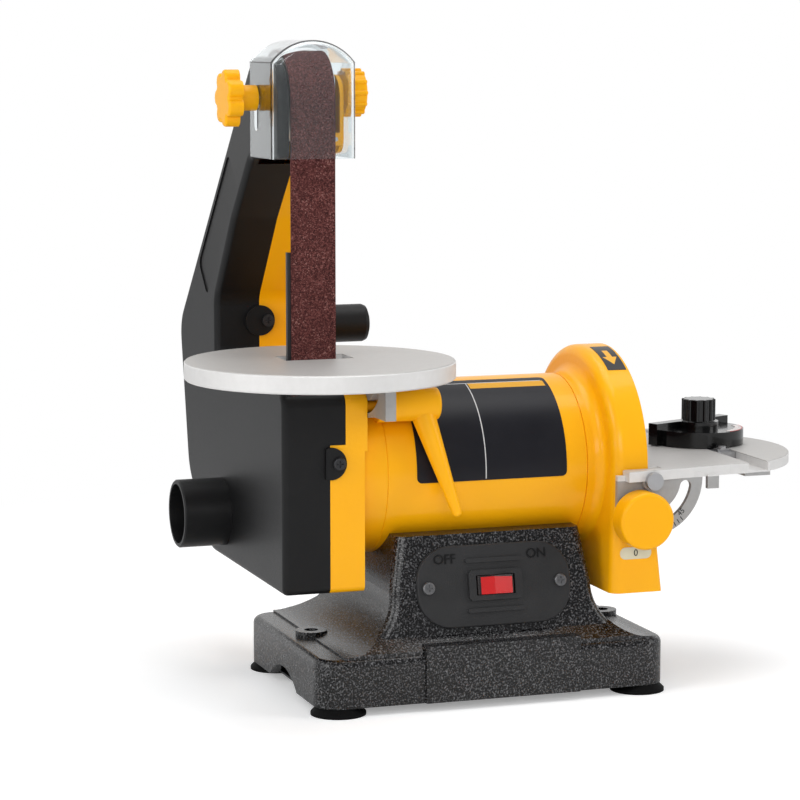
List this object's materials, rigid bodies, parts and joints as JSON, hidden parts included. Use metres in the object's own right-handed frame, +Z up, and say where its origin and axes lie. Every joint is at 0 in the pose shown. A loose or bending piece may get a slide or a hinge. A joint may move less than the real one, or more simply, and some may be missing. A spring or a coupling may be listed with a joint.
{
  "type": "belt and disc sander",
  "caption": "Bench sander with a narrow vertical sanding belt over a round tilting table at one end of its motor and a sanding disc with a tilting mitre table at the other.",
  "frame": {"origin": "on the bench under the middle of the motor, midway between the two bolt-down holes", "axes": "+X along the motor shaft to the disc end, +Y to the back, +Z up"},
  "size_m": [0.3796, 0.302, 0.37],
  "materials": {
    "yellow_paint": "gloss",
    "yellow_plastic": "gloss",
    "black_casting": "hammered paint",
    "black_plastic": "matte",
    "red_plastic": "gloss",
    "panel_film": "satin",
    "black_rubber": "matte",
    "cast_aluminium": "satin",
    "steel": "satin",
    "core_steel": "laminated",
    "copper": "lacquered",
    "capacitor_can": "satin",
    "abrasive": "coated grain",
    "clear_plastic": "clear"
  },
  "bodies": {
    "stand": {"base": "black_casting", "base_plate": "steel", "rubber_feet": "black_rubber", "foot_screws": "steel", "switch_plate": "black_plastic", "switch_plate_screws": "steel", "switch_housing": "black_plastic", "run_capacitor": "capacitor_can", "cord_gland": "black_plastic", "motor_housing": "yellow_paint", "rating_panel": "panel_film", "stator_core": "core_steel", "stator_windings": "copper", "bearing_left": "steel", "bearing_right": "steel", "motor_bolts": "steel", "tie_bolts": "steel", "belt_frame": "yellow_paint", "belt_cover": "black_plastic", "cover_screws": "steel", "abrasive_belt": "abrasive", "tracking_pin": "steel", "arm_pivot_pin": "steel", "tension_spring": "steel", "platen": "steel", "platen_screws": "steel", "disc_guard": "yellow_paint", "disc_table_pins": "steel"},
    "rotor": {"motor_shaft": "steel", "rotor_core": "core_steel", "drive_wheel": "cast_aluminium", "drive_wheel_nut": "steel", "disc_plate": "cast_aluminium", "abrasive_disc": "abrasive"},
    "tracking": {"tracking_bracket": "steel", "top_axle": "steel"},
    "upper_wheel": {"top_wheel": "cast_aluminium"},
    "tensioner": {"tension_arm": "steel", "tension_axle": "steel", "tension_grip": "black_plastic"},
    "rear_wheel": {"tension_wheel": "cast_aluminium"},
    "guard": {"clear_guard": "clear_plastic"},
    "guard_lock": {"guard_knob": "yellow_plastic"},
    "tracking_screw": {"tracking_knob": "yellow_plastic"},
    "round_table": {"belt_table": "cast_aluminium"},
    "table_lock": {"table_lock_lever": "yellow_plastic"},
    "side_table": {"disc_table": "cast_aluminium"},
    "side_table_lock": {"disc_table_knob": "yellow_plastic"},
    "mitre_slide": {"mitre_bar": "steel", "mitre_pointer": "steel", "pointer_screw": "steel"},
    "mitre_fence": {"mitre_head": "black_plastic"},
    "mitre_lock": {"mitre_knob": "black_plastic"},
    "rocker": {"switch_rocker": "red_plastic"}
  },
  "joints": [
    {"name": "rotor_spin", "type": "hinge", "parent": "stand", "child": "rotor", "pos_m": [0, 0, 0.128], "axis": [1, 0, 0], "continuous": true},
    {"name": "tracking_tilt", "type": "hinge", "parent": "stand", "child": "tracking", "pos_m": [-0.0863, -0.0203, 0.316], "axis": [0, 1, 0], "range_deg": [-0.9, 0.9]},
    {"name": "upper_wheel_spin", "type": "hinge", "parent": "tracking", "child": "upper_wheel", "pos_m": [-0.102, -0.0203, 0.3385], "axis": [1, 0, 0], "continuous": true},
    {"name": "tension_swing", "type": "hinge", "parent": "stand", "child": "tensioner", "pos_m": [-0.0863, 0.105, 0.118], "axis": [1, 0, 0], "range_deg": [0, 8.5], "stiffness_Nm_per_rad": 5, "springref_deg": -11.46, "deforming": ["tension_spring"]},
    {"name": "rear_wheel_spin", "type": "hinge", "parent": "tensioner", "child": "rear_wheel", "pos_m": [-0.102, 0.1296, 0.186], "axis": [1, 0, 0], "continuous": true},
    {"name": "guard_lift", "type": "slide", "parent": "stand", "child": "guard", "axis": [0, 0, 1], "range_m": [0, 0.014]},
    {"name": "guard_lock_turn", "type": "hinge", "parent": "stand", "child": "guard_lock", "pos_m": [-0.135, -0.0203, 0.3385], "axis": [-1, 0, 0], "range_deg": [0, 360]},
    {"name": "tracking_turn", "type": "hinge", "parent": "stand", "child": "tracking_screw", "pos_m": [-0.07, -0.0203, 0.341], "axis": [1, 0, 0], "range_deg": [-120, 120]},
    {"name": "belt_table_tilt", "type": "hinge", "parent": "stand", "child": "round_table", "pos_m": [-0.073, -0.047, 0.1975], "axis": [1, 0, 0], "range_deg": [0, 45]},
    {"name": "belt_table_lock", "type": "hinge", "parent": "stand", "child": "table_lock", "pos_m": [-0.06, -0.047, 0.169], "axis": [-1, 0, 0], "range_deg": [0, 30]},
    {"name": "disc_table_tilt", "type": "hinge", "parent": "stand", "child": "side_table", "pos_m": [0.0896, 0, 0.1229], "axis": [0, 1, 0], "range_deg": [0, 45]},
    {"name": "disc_table_lock", "type": "hinge", "parent": "stand", "child": "side_table_lock", "pos_m": [0.082, -0.078, 0.10172], "axis": [0, -1, 0], "range_deg": [0, 360]},
    {"name": "mitre_travel", "type": "slide", "parent": "side_table", "child": "mitre_slide", "axis": [0, 1, 0], "range_m": [-0.045, 0.035]},
    {"name": "mitre_turn", "type": "hinge", "parent": "mitre_slide", "child": "mitre_fence", "pos_m": [0.1596, 0.017, 0.135], "axis": [0, 0, 1], "range_deg": [-82, 38]},
    {"name": "mitre_lock_turn", "type": "hinge", "parent": "mitre_slide", "child": "mitre_lock", "pos_m": [0.1596, 0.017, 0.148], "axis": [0, 0, 1], "range_deg": [0, 360]},
    {"name": "switch_rock", "type": "hinge", "parent": "stand", "child": "rocker", "pos_m": [0, -0.0558, 0.066], "axis": [0, 0.1961, 0.9806], "range_deg": [0, 14]}
  ],
  "couplings": [
    {"joint": "upper_wheel_spin", "follows": "rotor_spin", "ratio": 1.8542},
    {"joint": "rear_wheel_spin", "follows": "rotor_spin", "ratio": 2.0227},
    {"joint": "tracking_tilt", "follows": "tracking_turn", "ratio": 0.00637}
  ]
}
